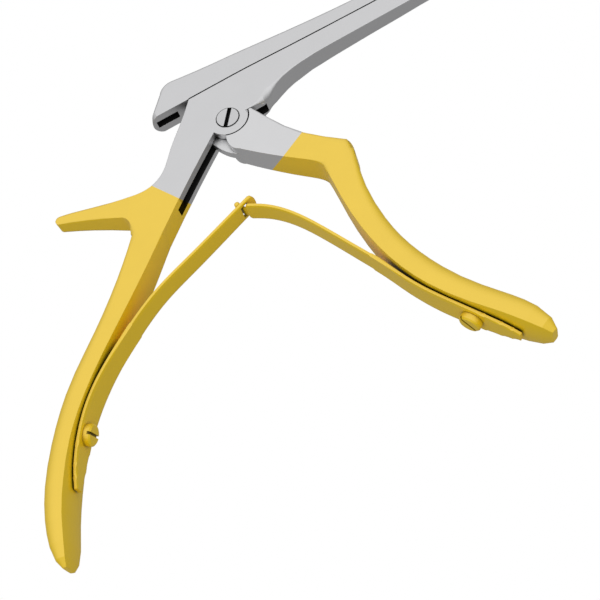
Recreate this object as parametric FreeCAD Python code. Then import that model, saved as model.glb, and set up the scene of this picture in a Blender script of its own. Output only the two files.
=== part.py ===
import FreeCAD, Part
import math
import os

from FreeCAD import Vector

# Bone rongeur of the sliding punch kind, lying on its side.
# Millimetres. The origin is on the pivot axis, in the flat side that faces down.
# +X runs along the shaft to the tip, +Y to the slider's side, +Z up through the slotted pivot screw.
# Every outline is drawn about the mid plane and lifted by half the body's thickness at the end.

# Body, cheeks and shaft
body_thickness = 6.5
seam_y = 12.2
cheek_radius = 5.45
cheek_foot_y = -0.6
middle_slot_width = 2.3
middle_slot_front_x = 10.6
middle_slot_rear_x = -5.5
rear_edge_points = [(-12.3, 5.0), (-17.1, -0.4), (-22.2, -6.3), (-26.8, -8.1), (-33.0, -7.2), (-41.5, -4.1)]
middle_slot_rear_points = [(-10.4, 3.2), (-14.6, -4.0), (-18.6, -10.5), (-21.6, -17.5)]
crotch_degrees = -156.6
handle_root_inner = (-29.6, -23.85)
handle_root_outer = (-35.7, -18.55)
body_rear_x = -6.3
inner_face_points = [(-21.2, -16.1)]
nose_start_x = 10.0
nose_points = [(12.2, 0.5), (15.9, 2.85), (20.7, 4.6), (26.8, 5.6)]
underside_points = [(36.0, 6.1), (60.0, 6.6), (110.0, 7.5)]
underside_roundings = [(5.0, 0.25), (7.5, 0.35), (9.0, 0.8), (10.5, 1.5), (11.4, 2.0), (12.1, 2.1), (13.0, 1.8),
                       (13.8, 1.3), (15.6, 0.7), (18.0, 0.4), (20.4, 0.3), (26.5, 0.25), (60.0, 0.25), (110.0, 0.2)]
edge_spare = 1.0
shaft_half_widths = [(20.0, 2.85), (32.0, 2.45), (46.0, 2.12), (62.0, 1.95), (110.0, 1.78)]
shaft_taper_start_x = 7.0
tip_half_width = 1.6

# Thumb horn at the top of the rear handle
horn_tip_top = (-50.4, -0.8)
horn_tip_end = (-51.9, -2.1)
horn_tip_bottom = (-51.0, -3.2)
horn_lower_point = (-43.6, -7.25)
horn_root_top = (-36.2, -12.0)
horn_root_middle = (-34.75, -14.2)
horn_root_bottom = (-34.9, -16.0)
horn_tip_thickness = 3.2
horn_taper_root = (-34.4, -12.5)
horn_taper_reach = 9.0

# Footplate that the slider cuts against
foot_x = 183.0
foot_lean_degrees = 40.0
foot_thickness = 1.3
foot_height = 3.4
foot_underside_y = 8.75
foot_heel_radius = 1.4
foot_heel_middle_degrees = -40.0

# Slider
slider_gap = 0.12
slider_rear_x = -18.0
slider_rear_bulge = 2.1
slider_rear_top = (-12.55, 19.0)
slider_rear_crown = (-10.9, 20.8)
slider_top_start = (-7.9, 21.45)
slider_top_points = [(2.0, 20.1), (18.0, 18.7), (37.0, 17.3), (62.0, 16.4), (110.0, 15.9)]
slider_tip_height = 3.2
slider_edge_radius = 0.8
closing_gap = 0.05
rear_pocket_x = (-16.8, -10.4)
rear_pocket_depth = 4.2
cup_depth = 8.0
cup_wall = 0.45

# T-shaped keys under the slider and their slots in the shaft
key_neck_width = 1.0
key_head_width = 1.9
key_neck_height = 0.7
key_head_height = 0.75
key_clearance = 0.06
key_length = 10.0
key_rear_xs = (40.0, 140.0)
key_fitting_shift = 26.0

# Trigger
swing_degrees = 36.0
lever_radius = 14.5
lever_rest_degrees = 106.0
lever_lobe_radius = 2.1
lever_neck_half_width = 1.35
lever_neck_foot_radius = 8.6
lobe_clearance = 0.12
tongue_thickness = 2.1
tongue_rear_points = [(-6.2, 3.4), (-7.0, -1.8), (-5.7, -6.2), (-3.9, -9.0), (-1.7, -10.9)]
tongue_front_points = [(5.6, 1.2), (3.2, 5.4)]
tongue_root_point = (6.5, -8.0)
shoulder_clearance = 0.08
trigger_stop_gap = 0.12
trigger_nose_x = 6.6
trigger_heel_degrees = -118.8
trigger_heel_points = [(-3.2, -6.9), (-3.05, -9.0)]
trigger_lower_points = [(-1.5, -11.1), (2.8, -16.2), (9.9, -23.7), (11.9, -25.7), (13.55, -27.9)]
trigger_top_points = [(9.2, -6.9), (11.7, -12.2), (16.6, -19.2), (20.7, -23.2), (22.4, -25.0), (22.8, -27.6)]
trigger_half_thicknesses = [(3.0, 3.05), (-8.0, 3.3), (-20.0, 3.8), (-31.0, 4.2)]
trigger_edge_radius = 1.1
trigger_root_inner = (13.95, -31.0)
trigger_root_outer = (21.85, -31.0)
trigger_nose_edge_radius = 0.4
trigger_rounding_steps = 6

# Grips: inner point, outer point, half thickness, rounding of the outer edges, crown of the inner face
rear_grip_stations = [
    ((-27.5, -21.8), (-34.0, -15.9), 3.1, 0.9, 0.0),
    ((-30.4, -24.75), (-35.9, -18.8), 3.36, 1.0, 0.0),
    ((-39.0, -33.35), (-43.6, -28.4), 4.1, 1.9, 0.1),
    ((-49.8, -43.15), (-54.1, -39.0), 4.45, 2.9, 0.2),
    ((-61.3, -54.5), (-65.9, -50.6), 4.9, 3.6, 0.2),
    ((-68.1, -63.5), (-73.2, -60.8), 5.2, 4.0, 0.35),
    ((-72.4, -71.6), (-77.9, -69.6), 5.35, 4.2, 0.5),
    ((-75.3, -78.5), (-80.4, -77.0), 5.2, 4.0, 0.5),
    ((-77.1, -84.2), (-81.3, -83.1), 4.7, 3.2, 0.4),
    ((-78.3, -87.4), (-81.0, -86.7), 3.8, 2.0, 0.25),
    ((-79.2, -89.1), (-80.2, -88.8), 2.3, 0.6, 0.1),
]
trigger_grip_stations = [
    ((13.9, -28.5), (22.5, -28.5), 4.0, 1.0, 0.0),
    ((13.9, -31.0), (21.9, -31.0), 4.24, 1.2, 0.0),
    ((13.4, -40.3), (20.1, -39.8), 4.25, 2.1, 0.1),
    ((13.5, -50.6), (19.8, -50.1), 4.4, 2.9, 0.1),
    ((15.1, -61.8), (21.2, -59.7), 4.75, 3.6, 0.1),
    ((18.9, -72.9), (24.6, -69.6), 5.15, 4.1, 0.1),
    ((24.4, -82.2), (29.3, -78.2), 5.3, 4.2, 0.25),
    ((28.8, -88.1), (33.6, -84.3), 5.25, 4.1, 0.75),
    ((32.0, -92.6), (36.6, -89.6), 4.8, 3.4, 0.8),
    ((34.1, -95.3), (37.6, -93.6), 3.9, 2.3, 0.5),
    ((35.7, -96.9), (37.2, -96.3), 2.3, 0.8, 0.15),
]
grip_section_spacing = 5.5
weld_tolerance = 0.002
quarter_circle_pull = 0.5523
cubic_middle_share = 0.75

# Pivot screw
screw_head_radius = 3.15
screw_head_height = 1.25
screw_head_rise = 0.12
screw_slot_width = 1.1
screw_slot_depth = 0.7
screw_slot_degrees = 55.0
journal_radius = 2.1
screw_thread_radius = 1.75
running_clearance = 0.04
fitted_clearance = 0.02

# Leaf springs: centre line, and half width over the chord from the clamped end
leaf_thickness = 0.95
leaf_half_widths = [(0.0, 1.3), (2.5, 2.2), (7.0, 3.05), (14.0, 3.7), (20.0, 3.8), (28.0, 3.55), (40.0, 3.2),
                    (60.0, 3.0), (90.0, 2.7)]
rear_leaf_points = [(-71.65, -72.9), (-70.8, -70.95), (-68.8, -66.8), (-65.3, -61.0), (-60.9, -55.3),
                    (-55.0, -49.6), (-46.5, -43.3), (-36.2, -37.2), (-25.4, -33.0), (-12.2, -28.0), (-4.7, -25.15)]
front_leaf_points = [(30.25, -93.0), (27.4, -88.6), (23.7, -82.8), (20.0, -76.7), (16.5, -69.7), (13.0, -60.5),
                     (10.3, -54.3), (5.2, -43.0), (0.75, -35.0), (-3.7, -30.0), (-7.35, -27.35)]
rear_leaf_tip_radius = 1.6
front_leaf_tip_radius = 0.5
leaf_slot_length = 2.8
leaf_slot_width = 4.0
leaf_slot_centre = (-8.3, -26.65)
tongue_width = 3.3
knob_centre = (-9.05, -25.0)
knob_radius = 0.8
knob_length = 3.6

# Spring screws, and the low round lands on the grips that the leaves are clamped on
spring_screw_head_radius = 2.65
spring_screw_head_height = 1.75
spring_screw_bevel = 0.4
spring_screw_shank_radius = 1.3
spring_screw_shank_length = 6.0
spring_screw_slot_width = 0.7
spring_screw_slot_depth = 0.8
spring_screw_hole_clearance = 0.1
screw_land_radius = 2.4
screw_land_depth = 2.5
rear_screw_near = (-65.6, -61.0)
rear_screw_slot_degrees = 8.0
front_screw_near = (24.2, -83.1)
front_screw_slot_degrees = 49.0

# Worked out from the sizes above
half_body = body_thickness / 2
slide_travel = lever_radius * (
    math.cos(math.radians(lever_rest_degrees - swing_degrees)) - math.cos(math.radians(lever_rest_degrees))
)
lean = math.tan(math.radians(foot_lean_degrees))
slider_floor_y = seam_y + slider_gap
plan_end_x = foot_x + 2 * foot_height
slider_front_x = foot_x + slider_gap * lean - slide_travel - closing_gap
key_slide = slide_travel + key_clearance
far = 40.0


def point(x, y, z=0.0):
    return Vector(x, y, z)


def points(pairs):
    return [point(*pair) for pair in pairs]


def line(start, end):
    return Part.makeLine(start, end)


def curve(through, first_direction=None, last_direction=None):
    """One smooth curve through the points, with both end directions where they are given."""
    spline = Part.BSplineCurve()
    if first_direction:
        spline.interpolate(Points=through, InitialTangent=first_direction, FinalTangent=last_direction)
    else:
        spline.interpolate(through)
    return spline.toShape()


def arc(start, middle, end):
    return Part.Arc(start, middle, end).toShape()


def rounded(poles):
    """A round as one cubic curve, which lofts into a light surface."""
    corner = Part.BezierCurve()
    corner.setPoles(poles)
    return corner.toShape()


def on_circle(radius, degrees, centre=Vector(0, 0, 0)):
    angle = math.radians(degrees)
    return centre + Vector(radius * math.cos(angle), radius * math.sin(angle), 0)


def slab(edges, low, high):
    """The closed outline, drawn in the mid plane, as a slab between two heights."""
    face = Part.Face(Part.Wire(edges))
    face.translate(Vector(0, 0, low))
    return face.extrude(Vector(0, 0, high - low))


def polygon(corners):
    ring = corners + [corners[0]]
    return [line(a, b) for a, b in zip(ring[:-1], ring[1:])]


def block(x0, x1, y0, y1, half_height):
    return Part.makeBox(x1 - x0, y1 - y0, 2 * half_height, Vector(x0, y0, -half_height))


def post(radius, low, high, x=0.0, y=0.0):
    return Part.makeCylinder(radius, high - low, Vector(x, y, low))


def edges_of(shape, wanted):
    return [edge for edge in shape.Edges if wanted(edge)]


def middle_of(edge):
    return edge.valueAt((edge.FirstParameter + edge.LastParameter) / 2)


def width_curve():
    """Half width of shaft and slider over their length, tangent to the body's flat side."""
    through = [point(shaft_taper_start_x, half_body)] + points(shaft_half_widths) + [point(plan_end_x, tip_half_width)]
    last = through[-1] - through[-2]
    return curve(through, Vector(1, 0, 0), last.normalize())


def widths_in_plan(first_x, rear_bulge):
    """The plan outline that gives the slider and the shaft their taper, as a tall block."""
    near_side = width_curve()
    last_x = plan_end_x
    far_side = near_side.mirror(Vector(0, 0, 0), Vector(0, 1, 0))
    rear_near = point(first_x + rear_bulge, half_body)
    rear_far = point(first_x + rear_bulge, -half_body)
    front_near = point(last_x, tip_half_width)
    taper_start = point(shaft_taper_start_x, half_body)
    edges = [line(rear_near, taper_start), near_side, line(front_near, point(last_x, -tip_half_width)), far_side]
    edges.append(line(point(shaft_taper_start_x, -half_body), rear_far))
    edges.append(arc(rear_far, point(first_x, 0), rear_near))
    plan = Part.Face(Part.Wire(Part.sortEdges(edges)[0])).extrude(Vector(0, 0, 2 * far))
    plan.rotate(Vector(0, 0, 0), Vector(1, 0, 0), 90)
    plan.translate(Vector(0, far, 0))
    return plan


def upright(edges, origin, along, reach):
    """An outline drawn with `along` as its X and +Z as its Y, extruded to both sides."""
    solid = slab(edges, -reach, reach)
    up = Vector(0, 0, 1)
    turn = FreeCAD.Rotation(along, up, along.cross(up), "XYZ")
    solid.Placement = FreeCAD.Placement(origin, turn)
    return solid


def foot_edges():
    """The footplate's side outline, from the shaft's underside round to the foot of the cutting face."""
    across = foot_thickness / math.cos(math.radians(foot_lean_degrees))
    face_foot = point(foot_x, seam_y)
    face_top = face_foot + Vector(foot_height * lean, foot_height, 0)
    back_top = face_top + Vector(across, 0, 0)
    drop = seam_y - foot_underside_y - foot_heel_radius
    back_foot = point(foot_x + across - drop * lean, seam_y - drop)
    heel_end = point(back_foot.x - foot_heel_radius, foot_underside_y)
    middle = on_circle(foot_heel_radius, foot_heel_middle_degrees, heel_end + Vector(0, foot_heel_radius, 0))
    return heel_end, [arc(heel_end, middle, back_foot), line(back_foot, back_top),
                      line(back_top, face_top), line(face_top, face_foot)]


def key_block(rear_x, front_x, spare, top_y):
    """A T in section, hanging from the seam, larger all round by the spare."""
    head_top = seam_y - key_neck_height
    head_low = head_top - key_head_height
    neck = block(rear_x - spare, front_x + spare, head_top - spare, top_y, key_neck_width / 2 + spare)
    head = block(rear_x - spare, front_x + spare, head_low - spare, head_top + spare, key_head_width / 2 + spare)
    return neck.fuse(head)


def key_slot(rear_x):
    """The T slot for one key, with a window behind it where the key is let in."""
    window_rear = rear_x - key_fitting_shift
    window_front = window_rear + key_length
    slot = key_block(window_rear, rear_x + key_length + slide_travel, key_clearance, seam_y + edge_spare)
    low = seam_y - key_neck_height - key_head_height - key_clearance
    window = block(window_rear - key_clearance, window_front + key_clearance, low, seam_y + edge_spare,
                   key_head_width / 2 + key_clearance)
    return slot.fuse(window)


def middle_slot():
    """The slot between the cheeks, open to the seam, the crotch and the underside."""
    top_rear = point(middle_slot_rear_x, seam_y + edge_spare)
    wall = curve([top_rear] + points(middle_slot_rear_points))
    end = point(*middle_slot_rear_points[-1])
    corners = [end, point(middle_slot_front_x, end.y), point(middle_slot_front_x, seam_y + edge_spare), top_rear]
    sides = [line(a, b) for a, b in zip(corners[:-1], corners[1:])]
    return slab([wall] + sides, -middle_slot_width / 2, middle_slot_width / 2)


def section(inner, outer, sizes):
    """One cross-section of a grip: slightly crowned inner face, well rounded outer edges."""
    half, rounding, crown = sizes
    swell = -crown / cubic_middle_share
    across = outer - inner
    width = across.Length
    across.normalize()
    pull = rounding * (1 - quarter_circle_pull)

    def at(along, height):
        return inner + across * along + Vector(0, 0, height)

    edges = [rounded([at(0, -half), at(swell, -half / 2), at(swell, half / 2), at(0, half)]),
             line(at(0, half), at(width - rounding, half))]
    edges.append(rounded([at(width - rounding, half), at(width - pull, half), at(width, half - pull),
                          at(width, half - rounding)]))
    edges.append(line(at(width, half - rounding), at(width, rounding - half)))
    edges.append(rounded([at(width, rounding - half), at(width, pull - half), at(width - pull, -half),
                          at(width - rounding, -half)]))
    edges.append(line(at(width - rounding, -half), at(0, -half)))
    return Part.Wire(edges)


def grip(stations):
    """A grip through its cross-sections, with smooth curves along it and short straight runs between sections."""
    inner = [point(*station[0]) for station in stations]
    outer = [point(*station[1]) for station in stations]
    sizes = [point(*station[2:]) for station in stations]
    stops = [0.0]
    for near, beyond in zip(inner[:-1], inner[1:]):
        stops.append(stops[-1] + (beyond - near).Length)
    rails = []
    for through in (inner, outer, sizes):
        rail = Part.BSplineCurve()
        rail.interpolate(Points=through, Parameters=stops)
        rails.append(rail)
    sections = []
    for near, beyond in zip(stops[:-1], stops[1:]):
        count = math.ceil((beyond - near) / grip_section_spacing)
        for step in range(count):
            sections.append(section(*[rail.value(near + (beyond - near) * step / count) for rail in rails]))
    sections.append(section(inner[-1], outer[-1], sizes[-1]))
    return Part.makeLoft(sections, True, True)


def body_outline():
    """Side outline of cheeks, horn, handle root, shaft and footplate, drawn clockwise from the seam."""
    rear_top = point(body_rear_x, seam_y)
    tip_top = point(*horn_tip_top)
    tip_bottom = point(*horn_tip_bottom)
    root_top = point(*horn_root_top)
    root_bottom = point(*horn_root_bottom)
    grip_inner = point(*handle_root_inner)
    grip_outer = point(*handle_root_outer)
    crotch = on_circle(cheek_radius, crotch_degrees)
    boss_end = point(math.sqrt(cheek_radius**2 - cheek_foot_y**2), cheek_foot_y)
    nose = point(nose_start_x, cheek_foot_y)
    heel_end, foot = foot_edges()
    return [
        line(point(foot_x, seam_y), rear_top),
        curve([rear_top] + points(rear_edge_points) + [tip_top]),
        arc(tip_top, point(*horn_tip_end), tip_bottom),
        curve([tip_bottom, point(*horn_lower_point), root_top]),
        arc(root_top, point(*horn_root_middle), root_bottom),
        line(root_bottom, grip_outer),
        line(grip_outer, grip_inner),
        curve([grip_inner] + points(inner_face_points) + [crotch]),
        arc(crotch, point(0, -cheek_radius), boss_end),
        line(boss_end, nose),
        curve([nose] + points(nose_points) + points(underside_points) + [heel_end]),
    ] + foot


def horn_taper():
    """Two wedges that thin the horn towards its tip."""
    root = point(*horn_taper_root)
    along = point(*horn_tip_end) - root
    reach = along.Length + 2 * edge_spare
    along.normalize()
    wedges = []
    for side in (-1, 1):
        corners = points([(0, side * half_body), (reach, side * horn_tip_thickness / 2),
                          (reach, side * far), (0, side * far)])
        wedges.append(upright(polygon(corners), root, along, horn_taper_reach))
    return wedges


def fixed_handle():
    """Shaft, cheeks, thumb horn, rear handle and footplate in one piece."""
    solid = slab(body_outline(), -half_body, half_body)
    solid = solid.common(widths_in_plan(-far * 3, half_body))
    for wedge in horn_taper():
        solid = solid.cut(wedge)
    solid = round_nose(solid)
    solid = solid.fuse([grip(rear_grip_stations)], weld_tolerance)
    solid = solid.cut(middle_slot())
    for rear_x in key_rear_xs:
        solid = solid.cut(key_slot(rear_x))
    solid = solid.cut(post(screw_head_radius + running_clearance, half_body - screw_head_height, far))
    solid = solid.cut(post(journal_radius + fitted_clearance, 0, far))
    solid = solid.cut(post(screw_thread_radius + fitted_clearance, -far, 0))
    return with_screw_land(solid, seat_on(rear_leaf_points, rear_screw_near, -1))


def at_x(edge, x):
    """The point of an edge, drawn in the mid plane, that has the given x."""
    gauge = line(point(x, -far), point(x, far))
    return edge.distToShape(gauge)[1][0][0]


def round_nose(solid):
    """The lower edges, well rounded at the nose and running out along the shaft."""
    nose = point(nose_start_x, cheek_foot_y)
    heel_end = foot_edges()[0]
    under = curve([nose] + points(nose_points) + points(underside_points) + [heel_end])
    width = width_curve()
    for side in (-1, 1):
        sections = []
        for x, radius in underside_roundings:
            y = cheek_foot_y
            if x > nose_start_x:
                y = at_x(under, x).y
            half = half_body
            if x > shaft_taper_start_x:
                half = at_x(width, x).y
            sections.append(spandrel(point(x, y), Vector(0, -1, 0), half, radius, side))
        solid = solid.cut(Part.makeLoft(sections, True, True))
    return solid


def spandrel(spot, outward, half, radius, side):
    """What a rounding takes off one corner of a section, at a spot of the outline."""
    pull = radius * (1 - quarter_circle_pull)
    spare = edge_spare

    def at(depth, height):
        return spot - outward * depth + Vector(0, 0, side * height)

    ring = [at(0, half - radius), at(-spare, half - radius), at(-spare, half + spare), at(radius, half + spare),
            at(radius, half)]
    return Part.Wire([rounded([ring[-1], at(pull, half), at(0, half - pull), ring[0]])]
                     + [line(p, q) for p, q in zip(ring[:-1], ring[1:])])


def placed(shape, origin, axis, degrees):
    """A shape drawn about +Z, stood on the axis and turned about it."""
    turned = shape.copy()
    turned.rotate(Vector(0, 0, 0), Vector(0, 0, 1), degrees)
    up = Vector(0, 0, 1)
    turn = FreeCAD.Rotation(up, up.cross(axis).negative(), axis, "ZXY")
    turned.Placement = FreeCAD.Placement(point(*origin), turn).multiply(turned.Placement)
    return turned


def slider():
    """Upper shaft: leaning rear end, notch for the lever, two T keys and a hollow cutting end."""
    rear_foot = point(slider_rear_x, slider_floor_y)
    rear_top = point(*slider_rear_top)
    top_start = point(*slider_top_start)
    front_foot = point(slider_front_x, slider_floor_y)
    tip_top_y = slider_floor_y + slider_tip_height
    outline = [
        line(rear_foot, rear_top),
        arc(rear_top, point(*slider_rear_crown), top_start),
        curve([top_start] + points(slider_top_points) + [point(foot_x, tip_top_y)]),
        line(point(foot_x, tip_top_y), point(foot_x, slider_floor_y)),
        line(point(foot_x, slider_floor_y), rear_foot),
    ]
    solid = slab(outline, -half_body, half_body)
    solid = solid.common(widths_in_plan(slider_rear_x, slider_rear_bulge))
    for side in (-1, 1):
        solid = solid.makeFillet(slider_edge_radius, slider_top_edges(solid, side))
    ahead = slider_tip_height * 2
    front_cut = polygon([front_foot, front_foot + Vector(ahead * lean, ahead, 0), point(foot_x + far, seam_y + ahead),
                         point(foot_x + far, -seam_y), front_foot - Vector(ahead * lean, ahead, 0)])
    solid = solid.cut(slab(front_cut, -half_body, half_body))
    for rear_x in key_rear_xs:
        solid = solid.fuse(key_block(rear_x, rear_x + key_length, 0, slider_floor_y + edge_spare))
    centre = on_circle(lever_radius, lever_rest_degrees)
    reach = lever_lobe_radius + lobe_clearance
    half_width = middle_slot_width / 2
    solid = solid.cut(block(centre.x - reach, centre.x + reach, 0, lever_radius + reach, half_width))
    slope = (rear_top - rear_foot) * (rear_pocket_depth / (rear_top.y - rear_foot.y))
    pocket_rear = point(rear_pocket_x[0], slider_floor_y)
    pocket_front = point(rear_pocket_x[1], slider_floor_y)
    rise = Vector(0, rear_pocket_depth, 0)
    pocket = polygon([pocket_rear - slope, pocket_rear + slope, pocket_front + rise, pocket_front - rise])
    solid = solid.cut(slab(pocket, -half_width, half_width))
    cup_top = slider_floor_y + slider_tip_height - cup_wall
    cup_rear = slider_front_x - cup_depth + slider_tip_height * lean
    return solid.cut(block(cup_rear, foot_x + far, 0, cup_top, tip_half_width - cup_wall))


def slider_top_edges(solid, side):
    """The edges from the leaning rear end over the top to the cutting end, on one side."""
    def wanted(edge):
        middle = middle_of(edge)
        along = abs(edge.tangentAt(edge.FirstParameter).z) < 0.9
        return side * middle.z > 1 and edge.Length > 4 and middle.y > slider_floor_y + 1 and along
    return edges_of(solid, wanted)


def trigger_outline():
    """Side outline of the trigger between its shoulders and the first cross-section of the grip."""
    shoulder = cheek_radius + shoulder_clearance
    heel = on_circle(shoulder, trigger_heel_degrees)
    top_y = cheek_foot_y - trigger_stop_gap
    shoulder_end = point(math.sqrt(shoulder**2 - top_y**2), top_y)
    nose = point(trigger_nose_x, top_y)
    grip_inner = point(*trigger_root_inner)
    grip_outer = point(*trigger_root_outer)
    lower = points(trigger_lower_points)
    return [
        arc(heel, point(0, -shoulder), shoulder_end),
        line(shoulder_end, nose),
        trigger_front(),
        line(grip_outer, grip_inner),
        curve([grip_inner] + lower[::-1]),
        curve([lower[0]] + points(trigger_heel_points)[::-1] + [heel]),
    ]


def trigger_thickness():
    """The trigger seen from the front: thin at the shoulders, wider at the grip."""
    near_side = curve(points(trigger_half_thicknesses))
    far_side = near_side.mirror(Vector(0, 0, 0), Vector(0, 1, 0))
    top_y, top_half = trigger_half_thicknesses[0]
    low_y, low_half = trigger_half_thicknesses[-1]
    edges = [near_side, line(point(low_y, low_half), point(low_y, -low_half)), far_side,
             line(point(top_y, -top_half), point(top_y, top_half))]
    wire = Part.Wire(Part.sortEdges(edges)[0])
    return upright_across(wire)


def upright_across(wire):
    """An outline drawn with +Y as its X and +Z as its Y, extruded to both sides along X."""
    solid = Part.Face(wire).extrude(Vector(0, 0, 2 * far))
    turn = FreeCAD.Rotation(Vector(0, 1, 0), Vector(0, 0, 1), Vector(1, 0, 0), "XYZ")
    solid.Placement = FreeCAD.Placement(Vector(-far, 0, 0), turn)
    return solid


def lever():
    """The tongue between the cheeks and the lever whose round end works the slider."""
    centre = on_circle(lever_radius, lever_rest_degrees)
    along = on_circle(1, lever_rest_degrees)
    side = Vector(-along.y, along.x, 0) * lever_neck_half_width
    rear = points(tongue_rear_points)
    neck_foot = along * lever_neck_foot_radius
    outline = [
        line(neck_foot + side, rear[0]),
        curve(rear),
    ]
    outline += [line(a, b) for a, b in zip([rear[-1], point(*tongue_root_point)] + points(tongue_front_points),
                                           [point(*tongue_root_point)] + points(tongue_front_points)
                                           + [neck_foot - side])]
    outline.append(line(neck_foot - side, neck_foot + side))
    tongue = slab(outline, -tongue_thickness / 2, tongue_thickness / 2)
    neck = slab(polygon([neck_foot + side, centre + side, centre - side, neck_foot - side]),
                -tongue_thickness / 2, tongue_thickness / 2)
    lobe = post(lever_lobe_radius, -tongue_thickness / 2, tongue_thickness / 2, centre.x, centre.y)
    return tongue.fuse([neck, lobe])


def trigger_handle():
    """Trigger grip, shoulders, tongue and lever in one piece."""
    solid = slab(trigger_outline(), -far, far).common(trigger_thickness())
    solid = round_trigger(solid)
    solid = solid.fuse([grip(trigger_grip_stations)], weld_tolerance).fuse(lever())
    solid = solid.cut(post(journal_radius + running_clearance, -far, far))
    return with_screw_land(solid, seat_on(front_leaf_points, front_screw_near, 1))


def trigger_front():
    """The trigger's front and top line, from its nose down to the grip."""
    nose = point(trigger_nose_x, cheek_foot_y - trigger_stop_gap)
    return curve([nose] + points(trigger_top_points) + [point(*trigger_root_outer)])


def round_trigger(solid):
    """The trigger's front edges, rounded more and more towards the grip."""
    front = trigger_front()
    thickness = curve(points(trigger_half_thicknesses))
    growth = trigger_edge_radius - trigger_nose_edge_radius
    for side in (-1, 1):
        sections = []
        for step in range(-1, trigger_rounding_steps + 2):
            share = min(max(step / trigger_rounding_steps, 0), 1)
            at = front.FirstParameter + share * (front.LastParameter - front.FirstParameter)
            along = front.tangentAt(at)
            spot = front.valueAt(at)
            half = at_x(thickness, spot.y).y
            spot += along * edge_spare * (step - share * trigger_rounding_steps)
            outward = Vector(-along.y, along.x, 0)
            sections.append(spandrel(spot, outward, half, trigger_nose_edge_radius + growth * share, side))
        solid = solid.cut(Part.makeLoft(sections, True, True))
    return solid


def pivot_screw():
    """Slotted screw with a sunk head, a plain journal and a threaded end."""
    top = half_body + screw_head_rise
    head = post(screw_head_radius, half_body - screw_head_height, top)
    rim = edges_of(head, lambda e: abs(middle_of(e).z - top) < 0.01 and e.Length > screw_head_radius)
    head = head.makeChamfer(screw_head_rise, rim)
    journal = post(journal_radius, -middle_slot_width / 2, half_body - screw_head_height)
    thread = post(screw_thread_radius, screw_head_rise - half_body, -middle_slot_width / 2)
    slot = block(-far, far, -screw_slot_width / 2, screw_slot_width / 2, far)
    slot.translate(Vector(0, 0, far + top - screw_slot_depth))
    slot.rotate(Vector(0, 0, 0), Vector(0, 0, 1), screw_slot_degrees)
    return head.fuse([journal, thread]).cut(slot)


def seat_on(through, near, side):
    """Where a screw stands on a leaf's centre line, and the direction its head faces."""
    path = curve(points(through))
    at = path.Curve.parameter(point(*near))
    along = path.tangentAt(at)
    return path.valueAt(at), Vector(-along.y, along.x, 0) * side


def with_screw_land(solid, seat):
    """A grip with its land under the leaf and the hole for the spring's screw."""
    back = leaf_thickness / 2 + fitted_clearance
    land = post(screw_land_radius, -back - screw_land_depth, -back)
    solid = solid.fuse(placed(land, *seat, 0))
    shank = spring_screw_shank_length + fitted_clearance
    return solid.cut(placed(post(spring_screw_shank_radius + fitted_clearance, -shank, 0), *seat, 0))


def spring_screw(origin, axis, slot_degrees):
    """Cheese-headed screw that clamps a leaf spring to its handle."""
    foot = leaf_thickness / 2 + fitted_clearance
    top = foot + spring_screw_head_height
    head = post(spring_screw_head_radius, foot, top)
    rim = edges_of(head, lambda e: abs(middle_of(e).z - top) < 0.01 and e.Length > spring_screw_head_radius)
    head = head.makeChamfer(spring_screw_bevel, rim)
    shank = post(spring_screw_shank_radius, -spring_screw_shank_length, foot)
    slot = block(-far, far, -spring_screw_slot_width / 2, spring_screw_slot_width / 2, far)
    slot.translate(Vector(0, 0, far + top - spring_screw_slot_depth))
    return placed(head.fuse(shank).cut(slot), origin, axis, slot_degrees)


def leaf_plan(length, tip_radius):
    """A leaf's outline seen on its flat: narrow at the tail, widest at the screw, rounded at the tip."""
    widths = [(along, half) for along, half in leaf_half_widths if along < length - 2 * tip_radius]
    tip_half = leaf_half_widths[-1][1]
    widths.append((length - tip_radius, tip_half))
    near_side = curve(points(widths))
    far_side = near_side.mirror(Vector(0, 0, 0), Vector(0, 1, 0))
    short = tip_radius * (1 - math.sqrt(0.5))
    edges = [near_side, far_side, line(point(0, widths[0][1]), point(0, -widths[0][1]))]
    for side in (-1, 1):
        edges.append(arc(point(length - tip_radius, side * tip_half), point(length - short, side * (tip_half - short)),
                         point(length, side * (tip_half - tip_radius))))
    edges.append(line(point(length, tip_half - tip_radius), point(length, tip_radius - tip_half)))
    return Part.sortEdges(edges)[0]


def leaf(through, tip_radius):
    """A flat strip bent along the centre line and cut to the leaf's plan."""
    path = curve(points(through))
    start = path.valueAt(path.FirstParameter)
    end = path.valueAt(path.LastParameter)
    along = path.tangentAt(path.FirstParameter)
    normal = Vector(-along.y, along.x, 0) * (leaf_thickness / 2)
    half = Vector(0, 0, max(width for at, width in leaf_half_widths) + edge_spare)
    corners = [start + normal + half, start - normal + half, start - normal - half, start + normal - half]
    strip = Part.Wire(path).makePipeShell([Part.Wire(polygon(corners))], True, False)
    chord = end - start
    length = chord.Length
    return strip.common(upright(leaf_plan(length, tip_radius), start, chord.normalize(), far))


def rear_leaf_spring():
    """Leaf with a long slot near its free end for the other leaf's tongue."""
    solid = leaf(rear_leaf_points, rear_leaf_tip_radius)
    along = point(*rear_leaf_points[-1]) - point(*rear_leaf_points[-2])
    a = leaf_slot_length / 2
    b = leaf_slot_width / 2
    opening = polygon([point(-a, -b), point(a, -b), point(a, b), point(-a, b)])
    solid = solid.cut(upright(opening, point(*leaf_slot_centre), along.normalize(), leaf_slot_length))
    return solid.cut(screw_clearance(seat_on(rear_leaf_points, rear_screw_near, -1)))


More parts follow.
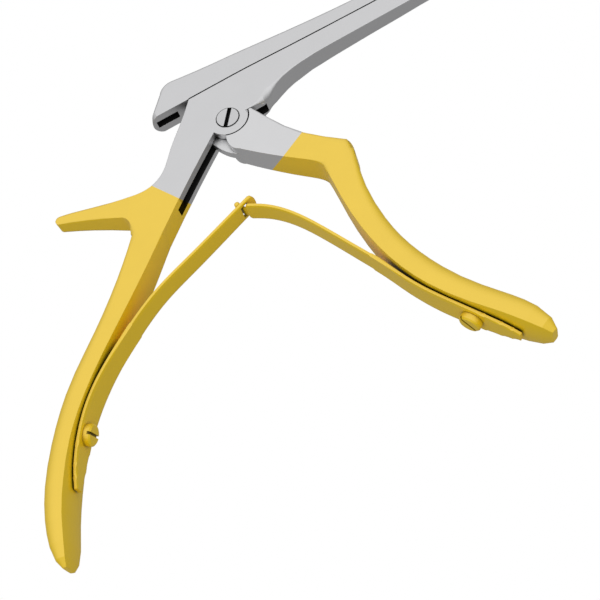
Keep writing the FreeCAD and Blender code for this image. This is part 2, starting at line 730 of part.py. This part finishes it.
def front_leaf_spring():
    """Leaf with a narrow tongue that hooks through the other leaf and ends in a round bar."""
    solid = leaf(front_leaf_points, front_leaf_tip_radius)
    end = point(*front_leaf_points[-1])
    knob = point(*knob_centre)
    along = knob - end
    reach = along.Length
    along.normalize()
    width = tongue_width / 2
    outline = polygon([point(-1, -width), point(reach, -width), point(reach, width), point(-1, width)])
    tongue = upright(outline, end, along, leaf_thickness / 2)
    bar = post(knob_radius, -knob_length / 2, knob_length / 2, knob.x, knob.y)
    solid = solid.fuse([tongue, bar])
    return solid.cut(screw_clearance(seat_on(front_leaf_points, front_screw_near, 1)))


def screw_clearance(seat):
    """The hole in a leaf for its screw and the flat its head sits on."""
    hole = post(spring_screw_shank_radius + spring_screw_hole_clearance, -leaf_thickness, leaf_thickness)
    flat = post(spring_screw_head_radius + spring_screw_hole_clearance, leaf_thickness / 2, leaf_thickness)
    return placed(hole.fuse(flat), *seat, 0)


parts = {
    "fixed_handle": fixed_handle,
    "slider": slider,
    "trigger_handle": trigger_handle,
    "pivot_screw": pivot_screw,
    "rear_leaf_spring": rear_leaf_spring,
    "front_leaf_spring": front_leaf_spring,
    "rear_spring_screw": lambda: spring_screw(*seat_on(rear_leaf_points, rear_screw_near, -1),
                                              rear_screw_slot_degrees),
    "front_spring_screw": lambda: spring_screw(*seat_on(front_leaf_points, front_screw_near, 1),
                                               front_screw_slot_degrees),
}

os.makedirs("parts", exist_ok=True)
for name, make in parts.items():
    shape = make().removeSplitter()
    if len(shape.Solids) == 1:
        shape = shape.Solids[0]
    shape.translate(Vector(0, 0, half_body))
    shape.exportStep(f"parts/{name}.step")
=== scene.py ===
import math

import bmesh
import bpy
import numpy as np
from mathutils import Matrix, Vector


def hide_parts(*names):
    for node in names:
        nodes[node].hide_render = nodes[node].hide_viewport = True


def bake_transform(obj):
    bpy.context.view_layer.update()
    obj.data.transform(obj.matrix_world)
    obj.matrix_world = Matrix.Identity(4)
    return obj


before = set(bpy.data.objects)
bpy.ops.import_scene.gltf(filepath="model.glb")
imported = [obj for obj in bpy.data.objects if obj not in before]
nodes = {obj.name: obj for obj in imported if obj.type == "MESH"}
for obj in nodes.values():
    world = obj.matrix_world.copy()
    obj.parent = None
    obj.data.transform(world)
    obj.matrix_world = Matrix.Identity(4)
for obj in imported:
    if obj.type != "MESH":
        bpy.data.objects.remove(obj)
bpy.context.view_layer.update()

# The picture. The tool lies on its side, seen from above its grips, and the shaft leaves the picture at the top,
# as in the photograph. The lens and the camera's place were worked out from the photograph's perspective.
# Sizes and places in this file are in millimetres, and MM turns them into metres.
MM = 0.001
eye = Vector((-14.15, -192.66, 218.5)) * MM
view_right = Vector((0.87385, -0.42368, -0.23850))
view_down = Vector((-0.48545, -0.73317, -0.47622))
view_ahead = Vector((0.02691, 0.53193, -0.84636))
focal_length = 65.58

camera = bpy.data.objects.new("camera", bpy.data.cameras.new("camera"))
bpy.context.scene.collection.objects.link(camera)
camera.data.lens = focal_length
camera.data.sensor_width = 36.0
camera.data.clip_start = 10 * MM
camera.data.clip_end = 10.0
turn = Matrix((view_right, -view_down, -view_ahead)).transposed()
camera.matrix_world = Matrix.Translation(eye) @ turn.to_4x4()
bpy.context.scene.camera = camera
bpy.context.scene.view_settings.view_transform = "Standard"


# The light. A plain studio world, no lamps: bright overhead, so that faces turned up are pale, and dim below,
# so that the undersides that look away from the bright sky are grey. The camera sees it as plain white paper.
def studio():
    """World whose grey level rises with height; straight looks at it are white."""
    world = bpy.data.worlds.new("studio")
    bpy.context.scene.world = world
    world.use_nodes = True
    tree = world.node_tree
    tree.nodes.clear()
    make = tree.nodes.new
    link = tree.links.new
    coords = make("ShaderNodeTexCoord")
    split = make("ShaderNodeSeparateXYZ")
    link(coords.outputs["Generated"], split.inputs["Vector"])
    height = make("ShaderNodeMapRange")
    height.inputs["From Min"].default_value = -1.0
    height.inputs["From Max"].default_value = 1.0
    link(split.outputs["Z"], height.inputs["Value"])
    ramp = make("ShaderNodeValToRGB")
    ramp.color_ramp.interpolation = "EASE"
    stops = [(0.0, 0.31), (0.12, 0.36), (0.40, 0.28), (0.62, 0.62), (0.85, 0.92), (1.0, 1.0)]
    elements = ramp.color_ramp.elements
    while len(elements) < len(stops):
        elements.new(0.5)
    for element, (place, level) in zip(elements, stops):
        element.position = place
        element.color = (level, level, level, 1.0)
    link(height.outputs["Result"], ramp.inputs["Fac"])
    soft = make("ShaderNodeBackground")
    link(ramp.outputs["Color"], soft.inputs["Color"])
    white = make("ShaderNodeBackground")
    white.inputs["Color"].default_value = (1.0, 1.0, 1.0, 1.0)
    light_path = make("ShaderNodeLightPath")
    mix = make("ShaderNodeMixShader")
    output = make("ShaderNodeOutputWorld")
    link(light_path.outputs["Is Camera Ray"], mix.inputs["Fac"])
    link(soft.outputs["Background"], mix.inputs[1])
    link(white.outputs["Background"], mix.inputs[2])
    link(mix.outputs["Shader"], output.inputs["Surface"])


studio()


# Handle with the shaft, the cheeks and the thumb horn: one drop-forged stainless steel piece, milled at the joint,
# then satin finished. Its grip, horn and root carry a hard gold coating that ends in a straight slanting line.
# Painted shade darkens the middle slot, the seam under the slider and, half as dark, the near cheek's edge.
steel_tone = (0.68, 0.68, 0.69)
# Painted light on the gold: a paler painted sheen where faces turn up, and deeper yellow on the sides, a painted
# reflection of gold in gold.
gold_painted_sheen_up = (0.97, 0.675, 0.08)
gold_painted_reflection_sides = (0.97, 0.66, 0.01)
gold_painted_sheen_span = (0.6, 1.0)
steel_mottle = 0.02
gold_mottle = 0.03
mottles_per_metre = 160.0
mottle_detail = 4.0
grains_per_metre = 2500.0
grain_detail = 3.0
grain_strength = 0.35
grain_depth = 0.004
steel_metallic = 1.0
gold_metallic = 0.2
satin_roughness = 0.36
milled_edge = 0.25
samples_per_point = 8
sheen = 0.5
# Painted shade: the base colour darkens in corners and creases by occlusion, and to near black in masked slots,
# seams and rims.
painted_shade_reach = 1.6
painted_shade_darkest = 0.05
painted_shade_span = (0.2, 0.75)
painted_mask_level = 0.02
coating_edge_blur = 0.06
soft_spot_core = 0.6
mid_plane = 3.25
rear_coating_edge = ((-25.4, -8.1, 3.3), (-21.4, -15.0, 3.3), (-19.1, -14.0, -3.3))
handle_side = (-60.0, -60.0, 0.0)
handle_soft_spots = [((-33.5, -20.5, 3.25), 7.0, 2.2), ((-44.0, -5.0, 3.25), 11.0, 0.8)]
# Boxes and bands of painted shade on the handle.
middle_slot_shade_box = ((-22.5, -18.5, 1.6), (10.7, 13.0, 4.42))
cheek_edge_shade_box = ((-21.0, -16.2, 4.4), (-5.0, 3.0, 6.4))
cheek_edge_shade = 0.4
seam_height = 12.2
seam_shade_below = 0.13
seam_shade_above = 0.05
seam_shade_rear_x = -17.5


def principled(name, roughness, metallic):
    """A new metal material: its node tree, its shader and its object coordinates."""
    material = bpy.data.materials.new(name)
    material.use_nodes = True
    tree = material.node_tree
    shader = tree.nodes["Principled BSDF"]
    shader.inputs["Metallic"].default_value = metallic
    shader.inputs["Roughness"].default_value = roughness
    coords = tree.nodes.new("ShaderNodeTexCoord")
    return material, tree, shader, coords.outputs["Object"]


def mapped(tree, value, low, high, at_low, at_high):
    """Linear step of a value: at_low up to low, at_high from high on."""
    step = tree.nodes.new("ShaderNodeMapRange")
    step.inputs["From Min"].default_value = low
    step.inputs["From Max"].default_value = high
    step.inputs["To Min"].default_value = at_low
    step.inputs["To Max"].default_value = at_high
    tree.links.new(value, step.inputs["Value"])
    return step.outputs["Result"]


def worked(tree, operation, first, second):
    """One math step on two sockets, or on a socket and a number."""
    node = tree.nodes.new("ShaderNodeMath")
    node.operation = operation
    for value, target in ((first, node.inputs[0]), (second, node.inputs[1])):
        if isinstance(value, (int, float)):
            target.default_value = value
        else:
            tree.links.new(value, target)
    return node.outputs["Value"]


def parts_of(tree, coords):
    """The three object coordinates as sockets."""
    split = tree.nodes.new("ShaderNodeSeparateXYZ")
    tree.links.new(coords, split.inputs["Vector"])
    return [split.outputs[axis] for axis in "XYZ"]


def away(tree, coords, spot):
    """Distance from a spot that is given in millimetres."""
    node = tree.nodes.new("ShaderNodeVectorMath")
    node.operation = "DISTANCE"
    node.inputs[1].default_value = [value * MM for value in spot]
    tree.links.new(coords, node.inputs[0])
    return node.outputs["Value"]


def within(tree, coords, low, high):
    """One inside the box between two corners in millimetres and nought outside it."""
    inside = 1.0
    for socket, least, most in zip(parts_of(tree, coords), low, high):
        above = worked(tree, "GREATER_THAN", socket, least * MM)
        below = worked(tree, "LESS_THAN", socket, most * MM)
        inside = worked(tree, "MULTIPLY", worked(tree, "MULTIPLY", above, below), inside)
    return inside


def satin(tree, shader, coords, edge_radius, soft_spots=()):
    """Satin relief: a noise bump over edges that are eased by the edge radius, or by more round soft spots.

    A soft spot is its centre, its reach and its own radius. That radius holds in the core, falls to nought at the
    reach, and counts where it is the larger.
    """
    soft_edge = tree.nodes.new("ShaderNodeBevel")
    soft_edge.samples = samples_per_point
    radius = edge_radius * MM
    soft_edge.inputs["Radius"].default_value = radius
    for spot, reach, local_radius in soft_spots:
        near = mapped(tree, away(tree, coords, spot), soft_spot_core * reach * MM, reach * MM,
                      local_radius * MM, 0.0)
        radius = worked(tree, "MAXIMUM", near, radius)
    if soft_spots:
        tree.links.new(radius, soft_edge.inputs["Radius"])
    grain = tree.nodes.new("ShaderNodeTexNoise")
    grain.inputs["Scale"].default_value = grains_per_metre
    grain.inputs["Detail"].default_value = grain_detail
    bump = tree.nodes.new("ShaderNodeBump")
    bump.inputs["Strength"].default_value = grain_strength
    bump.inputs["Distance"].default_value = grain_depth * MM
    tree.links.new(coords, grain.inputs["Vector"])
    tree.links.new(grain.outputs["Fac"], bump.inputs["Height"])
    tree.links.new(soft_edge.outputs["Normal"], bump.inputs["Normal"])
    tree.links.new(bump.outputs["Normal"], shader.inputs["Normal"])


def scaled(tree, colour, level):
    """A colour socket times a level socket."""
    node = tree.nodes.new("ShaderNodeVectorMath")
    node.operation = "SCALE"
    tree.links.new(colour, node.inputs[0])
    tree.links.new(level, node.inputs["Scale"])
    return node.outputs["Vector"]


def painted_corner_shade(tree):
    """Painted shade in corners: a colour level that falls from one to the darkest level where walls within the
    reach shut most of the light out.
    """
    sky = tree.nodes.new("ShaderNodeAmbientOcclusion")
    sky.samples = samples_per_point
    sky.inputs["Distance"].default_value = painted_shade_reach * MM
    return mapped(tree, sky.outputs["AO"], *painted_shade_span, painted_shade_darkest, 1.0)


def clouded(tree, coords, tone, spread):
    """The tone with a faint mottle: tone times one plus or minus the spread, by slow noise."""
    noise = tree.nodes.new("ShaderNodeTexNoise")
    noise.inputs["Scale"].default_value = mottles_per_metre
    noise.inputs["Detail"].default_value = mottle_detail
    flat = tree.nodes.new("ShaderNodeRGB")
    flat.outputs["Color"].default_value = (*tone, 1.0)
    tree.links.new(coords, noise.inputs["Vector"])
    return scaled(tree, flat.outputs["Color"], mapped(tree, noise.outputs["Fac"], 0.0, 1.0, 1 - spread, 1 + spread))


def mixed(tree, share, first, second):
    """The first colour where the share is nought, the second where it is one."""
    mix = tree.nodes.new("ShaderNodeMix")
    mix.data_type = "RGBA"
    colours = [socket for socket in mix.inputs if socket.type == "RGBA"]
    tree.links.new(share, mix.inputs["Factor"])
    tree.links.new(first, colours[0])
    tree.links.new(second, colours[1])
    return next(socket for socket in mix.outputs if socket.type == "RGBA")


def gold(tree, coords):
    """The coating's colour with painted light: a paler painted sheen where the surface faces up, deeper yellow as a
    painted reflection of gold in gold on its sides, with a faint mottle.
    """
    facing = tree.nodes.new("ShaderNodeNewGeometry")
    height = parts_of(tree, facing.outputs["Normal"])[2]
    return mixed(tree, mapped(tree, height, *gold_painted_sheen_span, 0.0, 1.0),
                 clouded(tree, coords, gold_painted_reflection_sides, gold_mottle),
                 clouded(tree, coords, gold_painted_sheen_up, gold_mottle))


def finished(tree, shader, colour, metallic, shadow):
    """Colour, metal share and sheen of a surface with painted shade: darker in corners, and all falling to near
    black and dull where the painted shadow is one.
    """
    lit = mapped(tree, shadow, 0.0, 1.0, 1.0, 0.0)
    level = worked(tree, "MULTIPLY", painted_corner_shade(tree), mapped(tree, lit, 0.0, 1.0, painted_mask_level, 1.0))
    tree.links.new(scaled(tree, colour, level), shader.inputs["Base Color"])
    tree.links.new(worked(tree, "MULTIPLY", lit, metallic), shader.inputs["Metallic"])
    tree.links.new(worked(tree, "MULTIPLY", lit, sheen), shader.inputs["Specular IOR Level"])


def coated(tree, coords, edge, coated_side):
    """One on the coated side of the plane through three points and nought on the other, with a fine edge."""
    corners = [Vector((x, y, z + mid_plane)) * MM for x, y, z in edge]
    normal = (corners[1] - corners[0]).cross(corners[2] - corners[0]).normalized()
    if normal.dot(Vector(coated_side) * MM - corners[0]) < 0:
        normal.negate()
    along = tree.nodes.new("ShaderNodeVectorMath")
    along.operation = "DOT_PRODUCT"
    along.inputs[1].default_value = normal
    tree.links.new(coords, along.inputs[0])
    start = normal.dot(corners[0])
    blur = coating_edge_blur * MM
    return mapped(tree, along.outputs["Value"], start - blur, start + blur, 0.0, 1.0)


def part_coated(name, tone, edge, coated_side, soft_spots, shadow):
    """Satin steel that turns gold beyond the coating's edge, with painted shade where the shadow function says so.
    """
    material, tree, shader, coords = principled(name, satin_roughness, steel_metallic)
    beyond = coated(tree, coords, edge, coated_side)
    colour = mixed(tree, beyond, clouded(tree, coords, tone, steel_mottle), gold(tree, coords))
    metallic = mapped(tree, beyond, 0.0, 1.0, steel_metallic, gold_metallic)
    finished(tree, shader, colour, metallic, shadow(tree, coords))
    satin(tree, shader, coords, milled_edge, soft_spots)
    return material


def handle_shadow(tree, coords):
    """Painted shade: the middle slot's walls and floor, the hairline under the slider and, half as dark, the near
    cheek's edge.
    """
    x, y = parts_of(tree, coords)[:2]
    seam = worked(tree, "GREATER_THAN", y, (seam_height - seam_shade_below) * MM)
    seam = worked(tree, "MULTIPLY", seam, worked(tree, "LESS_THAN", y, (seam_height + seam_shade_above) * MM))
    seam = worked(tree, "MULTIPLY", seam, worked(tree, "GREATER_THAN", x, seam_shade_rear_x * MM))
    half_dark = worked(tree, "MULTIPLY", within(tree, coords, *cheek_edge_shade_box), cheek_edge_shade)
    return worked(tree, "MAXIMUM", worked(tree, "MAXIMUM", within(tree, coords, *middle_slot_shade_box), seam), half_dark)


def dress(node, material):
    """Give a node its one material."""
    node.data.materials.clear()
    node.data.materials.append(material)


dress(nodes["fixed_handle"], part_coated("handle_steel_and_gold", steel_tone, rear_coating_edge, handle_side,
                                         handle_soft_spots, handle_shadow))


# Trigger: the front grip with its tongue and lever, forged and finished like the handle and a little brighter. It
# turns on the pivot screw between the cheeks. Its round shoulder runs along the cheek, with a painted shade line
# between.
trigger_steel_tone = (0.74, 0.74, 0.75)
trigger_coating_edge = ((14.3, -16.4, 3.6), (6.3, -20.7, 3.6), (3.0, -16.9, -3.6))
grip_side = (20.0, -60.0, 0.0)
trigger_soft_spots = [((19.5, -29.0, 3.25), 9.0, 2.2)]
shoulder_shade_centre = (0.0, 0.0, 6.2)
shoulder_shade_radii = (5.2, 5.78)


def shoulder_shadow(tree, coords):
    """Painted shade line at the edge of the round shoulder: places whose distance from the pivot lies between the
    line's two radii.
    """
    radius = away(tree, coords, shoulder_shade_centre)
    flat = worked(tree, "LESS_THAN", radius, shoulder_shade_radii[1] * MM)
    return worked(tree, "MULTIPLY", flat, worked(tree, "GREATER_THAN", radius, shoulder_shade_radii[0] * MM))


dress(nodes["trigger_handle"], part_coated("trigger_steel_and_gold", trigger_steel_tone, trigger_coating_edge,
                                           grip_side, trigger_soft_spots, shoulder_shadow))


# Slider: the upper half of the shaft, satin stainless steel like the handle. It rides on the shaft on two keys.
# A milled pocket in its rear foot and the seam over the shaft get painted shade.
rear_pocket_shade_box = ((-17.0, 12.36, 2.0), (-10.2, 16.7, 4.5))
body_rear_x = -6.3
slider_seam_shade_height = 0.28


def lit_all_over(tree, coords):
    """No shadow: nought everywhere."""
    return worked(tree, "MULTIPLY", parts_of(tree, coords)[0], 0.0)


def plain(name, tone, roughness, metallic, edge_radius, shadow=lit_all_over):
    """One satin metal all over, or gold where no tone is given, with painted shade where the shadow function says
    so.
    """
    material, tree, shader, coords = principled(name, roughness, metallic)
    colour = clouded(tree, coords, tone, steel_mottle) if tone else gold(tree, coords)
    finished(tree, shader, colour, metallic, shadow(tree, coords))
    satin(tree, shader, coords, edge_radius)
    return material


def slider_shadow(tree, coords):
    """Painted shade: one in the rear pocket's box and in the hairline over the shaft, the larger of the two."""
    x, y = parts_of(tree, coords)[:2]
    seam = worked(tree, "LESS_THAN", y, (seam_height + slider_seam_shade_height) * MM)
    seam = worked(tree, "MULTIPLY", seam, worked(tree, "GREATER_THAN", x, body_rear_x * MM))
    return worked(tree, "MAXIMUM", within(tree, coords, *rear_pocket_shade_box), seam)


dress(nodes["slider"], plain("slider_satin", steel_tone, satin_roughness, steel_metallic, milled_edge,
                             slider_shadow))


# Pivot screw: turned stainless steel, its slotted head sunk in the cheek. Painted shade darkens the slot to its
# floor, and a fine painted shade line runs round the head.
screw_tone = (0.64, 0.64, 0.65)
turned_roughness = 0.33
turned_edge = 0.08
screw_face_z = 6.62
screw_slot_shade_depth = 0.15
screw_rim_shade_radius = 2.95


def screw_shadow(tree, coords):
    """Painted shade: all that lies below the head's face, and the rim, where the root of x squared plus y squared
    is large.
    """
    x, y, z = parts_of(tree, coords)
    below = worked(tree, "LESS_THAN", z, (screw_face_z - screw_slot_shade_depth) * MM)
    square = worked(tree, "ADD", worked(tree, "MULTIPLY", x, x), worked(tree, "MULTIPLY", y, y))
    radius = worked(tree, "SQRT", square, 0.0)
    return worked(tree, "MAXIMUM", below, worked(tree, "GREATER_THAN", radius, screw_rim_shade_radius * MM))


dress(nodes["pivot_screw"], plain("screw_turned", screw_tone, turned_roughness, steel_metallic, turned_edge,
                                  screw_shadow))


# Leaf springs: two flat strips of spring steel with the same gold coating, widest at their screws and bent to slow
# curves. The trigger's leaf ends in a tongue with a round bar that hooks through a slot in the other leaf. On the
# tool both bend as the grips close; here they are built in one pose. Each is clamped at its screw and follows its
# grip there.
leaf_thickness = 0.95
leaf_edge_easing = 0.16
leaf_half_widths = [(0.0, 1.3), (2.5, 2.2), (7.0, 3.05), (14.0, 3.7), (20.0, 3.8), (28.0, 3.55), (40.0, 3.2),
                    (60.0, 3.0), (90.0, 2.7)]
rear_leaf_points = [(-71.65, -72.9), (-70.8, -70.95), (-68.8, -66.8), (-65.3, -61.0), (-60.9, -55.3),
                    (-55.0, -49.6), (-46.5, -43.3), (-36.2, -37.2), (-25.4, -33.0), (-12.2, -28.0), (-4.7, -25.15)]
front_leaf_points = [(30.25, -93.0), (27.4, -88.6), (23.7, -82.8), (20.0, -76.7), (16.5, -69.7), (13.0, -60.5),
                     (10.3, -54.3), (5.2, -43.0), (0.75, -35.0), (-3.7, -30.0), (-7.35, -27.35)]
leaf_slot_centre = (-8.03, -26.41)
leaf_slot_length = 2.0
leaf_slot_half_width = 2.0
tongue_half_width = 1.65
tongue_thickness = 0.7
rear_tip_radius = 1.6
front_tip_radius = 0.5
knob_centre = (-9.05, -25.0)
knob_radius = 0.7
knob_half_length = 1.8
knob_sides = 24
knob_easing = 0.3
leaf_rows = 150
tongue_rows = 12
tongue_root_row = -4
leaf_columns = np.array([-4.0, -3.2, -2.6, -2.0, -1.2, -0.4, 0.4, 1.2, 2.0, 2.6, 3.2, 4.0])
rim_share = 0.01
weld_distance = 0.0005
sharp_degrees = 35
spring_roughness = 0.34
spring_edge = 0.12
spring_gold = plain("spring_coated", None, spring_roughness, gold_metallic, spring_edge)


def spline(stops, values, at):
    """Natural cubic spline: piecewise cubics with equal slopes and curvatures at the stops, none at the ends."""
    stops, values = np.asarray(stops, float), np.asarray(values, float)
    gap = np.diff(stops)
    rise = np.diff(values, axis=0) / gap[:, None]
    size = len(stops)
    matrix = np.eye(size)
    right = np.zeros_like(values)
    for k in range(1, size - 1):
        matrix[k, k - 1:k + 2] = gap[k - 1], 2 * (gap[k - 1] + gap[k]), gap[k]
        right[k] = 6 * (rise[k] - rise[k - 1])
    bend = np.linalg.solve(matrix, right)
    k = np.clip(np.searchsorted(stops, at, side="right") - 1, 0, size - 2)
    t = (at - stops[k])[:, None]
    h = gap[k][:, None]
    return (values[k] + t * (rise[k] - h * (2 * bend[k] + bend[k + 1]) / 6) + t ** 2 * bend[k] / 2
            + t ** 3 * (bend[k + 1] - bend[k]) / (6 * h))


def centre_line(through, count):
    """Evenly spaced points on the spline through the given ones, by chord length, and the unit normals there."""
    through = np.array(through)
    stops = np.concatenate([[0.0], np.cumsum(np.linalg.norm(np.diff(through, axis=0), axis=1))])
    at = np.linspace(0.0, stops[-1], count)
    path = spline(stops, through, at)
    along = np.gradient(path, axis=0)
    along /= np.linalg.norm(along, axis=1)[:, None]
    return path, np.stack([-along[:, 1], along[:, 0]], axis=1)


def half_widths(path, tip_radius):
    """Half width by the distance along the chord, rounded off by a quarter circle at the tip."""
    chord = path[-1] - path[0]
    length = np.linalg.norm(chord)
    along = (path - path[0]) @ chord / length
    stops, widths = np.array(leaf_half_widths).T
    half = spline(stops, widths[:, None], np.clip(along, 0.0, stops[-1]))[:, 0]
    past = np.clip((along - (length - tip_radius)) / tip_radius, 0.0, 1.0)
    return half - tip_radius * (1 - np.sqrt(1 - past ** 2))


def strip_faces(path, normals, half, columns, hole, thickness):
    """Vertices and faces of a bent strip: an upper and a lower sheet, open at the hole, joined all round its rims.

    Each vertex is the centre line's point plus a height across it and half the thickness along the normal, which
    is less by the easing in the outermost columns.
    """
    rows, across = len(path), len(columns)
    heights = np.clip(columns[None, :], -half[:, None], half[:, None])
    easing = np.where(np.abs(heights) > half[:, None] - rim_share, leaf_edge_easing, 0.0)
    sheets = []
    for side in (1, -1):
        shift = side * (thickness / 2 - easing)
        flat = path[:, None, :] + shift[:, :, None] * normals[:, None, :]
        sheets.append(np.dstack([flat, heights + mid_plane]).reshape(-1, 3))
    vertices = np.vstack(sheets)
    cells = {(r, c) for r in range(rows - 1) for c in range(across - 1)
             if not hole(path[r:r + 2].mean(0), columns[c:c + 2].mean())}
    faces = []
    under = rows * across
    for r, c in sorted(cells):
        a, b, d, e = (r * across + c, r * across + c + 1, (r + 1) * across + c + 1, (r + 1) * across + c)
        faces.append((a, b, d, e))
        faces.append((under + e, under + d, under + b, under + a))
        for step, (p, q) in (((0, -1), (e, a)), ((0, 1), (b, d)), ((-1, 0), (a, b)), ((1, 0), (d, e))):
            if (r + step[0], c + step[1]) not in cells:
                faces.append((q, p, under + p, under + q))
    return vertices, faces


def bar_faces(centre, radius, half_length, sides):
    """Vertices and faces of an upright round bar: circles of the radius, less by the easing at both ends."""
    turns = np.arange(sides) * 2 * math.pi / sides
    easing = knob_easing * radius
    rings = [(radius - easing, -half_length), (radius, easing - half_length),
             (radius, half_length - easing), (radius - easing, half_length)]
    vertices = [(centre[0] + r * math.cos(t), centre[1] + r * math.sin(t), mid_plane + z) for r, z in rings
                for t in turns]
    faces = [tuple(reversed(range(sides))), tuple(range(3 * sides, 4 * sides))]
    for ring in range(3):
        for k in range(sides):
            low, high = ring * sides, (ring + 1) * sides
            faces.append((low + k, low + (k + 1) % sides, high + (k + 1) % sides, high + k))
    return vertices, faces


def solid_piece(name, shells, material):
    """One object from several closed shells, in metres, with outward normals and smooth shading up to edges."""
    vertices, faces = [], []
    for points, cells in shells:
        faces += [tuple(len(vertices) + k for k in cell) for cell in cells]
        vertices += [tuple(np.array(point) * MM) for point in points]
    mesh = bpy.data.meshes.new(name)
    mesh.from_pydata(vertices, [], faces)
    bm = bmesh.new()
    bm.from_mesh(mesh)
    bmesh.ops.remove_doubles(bm, verts=bm.verts, dist=weld_distance * MM)
    bmesh.ops.dissolve_degenerate(bm, edges=bm.edges, dist=weld_distance * MM)
    bmesh.ops.recalc_face_normals(bm, faces=bm.faces)
    bm.to_mesh(mesh)
    bm.free()
    mesh.shade_smooth()
    mesh.set_sharp_from_angle(angle=math.radians(sharp_degrees))
    mesh.materials.append(material)
    piece = bpy.data.objects.new(name, mesh)
    bpy.context.scene.collection.objects.link(piece)
    return piece


def in_leaf_slot(spot, height):
    """Whether a place on the rear leaf lies in its slot: less than half its length and its half width away."""
    gap = np.linalg.norm(spot - np.array(leaf_slot_centre))
    return gap < leaf_slot_length / 2 and abs(height) < leaf_slot_half_width


def never(spot, height):
    """No hole anywhere."""
    return False


path, normals = centre_line(rear_leaf_points, leaf_rows)
rear_shell = strip_faces(path, normals, half_widths(path, rear_tip_radius), leaf_columns, in_leaf_slot,
                         leaf_thickness)
rear_leaf = solid_piece("rear_leaf", [rear_shell], spring_gold)
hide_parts("rear_leaf_spring")
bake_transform(rear_leaf)

path, normals = centre_line(front_leaf_points, leaf_rows)
front_shell = strip_faces(path, normals, half_widths(path, front_tip_radius), leaf_columns, never, leaf_thickness)
tongue_points = [tuple(path[tongue_root_row]), front_leaf_points[-1], knob_centre]
tongue_path, tongue_normals = centre_line(tongue_points, tongue_rows)
tongue_half = np.full(tongue_rows, tongue_half_width)
tongue_shell = strip_faces(tongue_path, tongue_normals, tongue_half, leaf_columns, never, tongue_thickness)
knob_shell = bar_faces(knob_centre, knob_radius, knob_half_length, knob_sides)
front_leaf = solid_piece("front_leaf", [front_shell, tongue_shell, knob_shell], spring_gold)
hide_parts("front_leaf_spring")
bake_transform(front_leaf)


# Spring screws: cheese-headed steel screws with the same gold coating, each through its leaf into a low round land
# on the grip.
head_roughness = 0.30
head_edge = 0.10
for name in ("rear_spring_screw", "front_spring_screw"):
    dress(nodes[name], plain(name + "_coated", None, head_roughness, gold_metallic, head_edge))
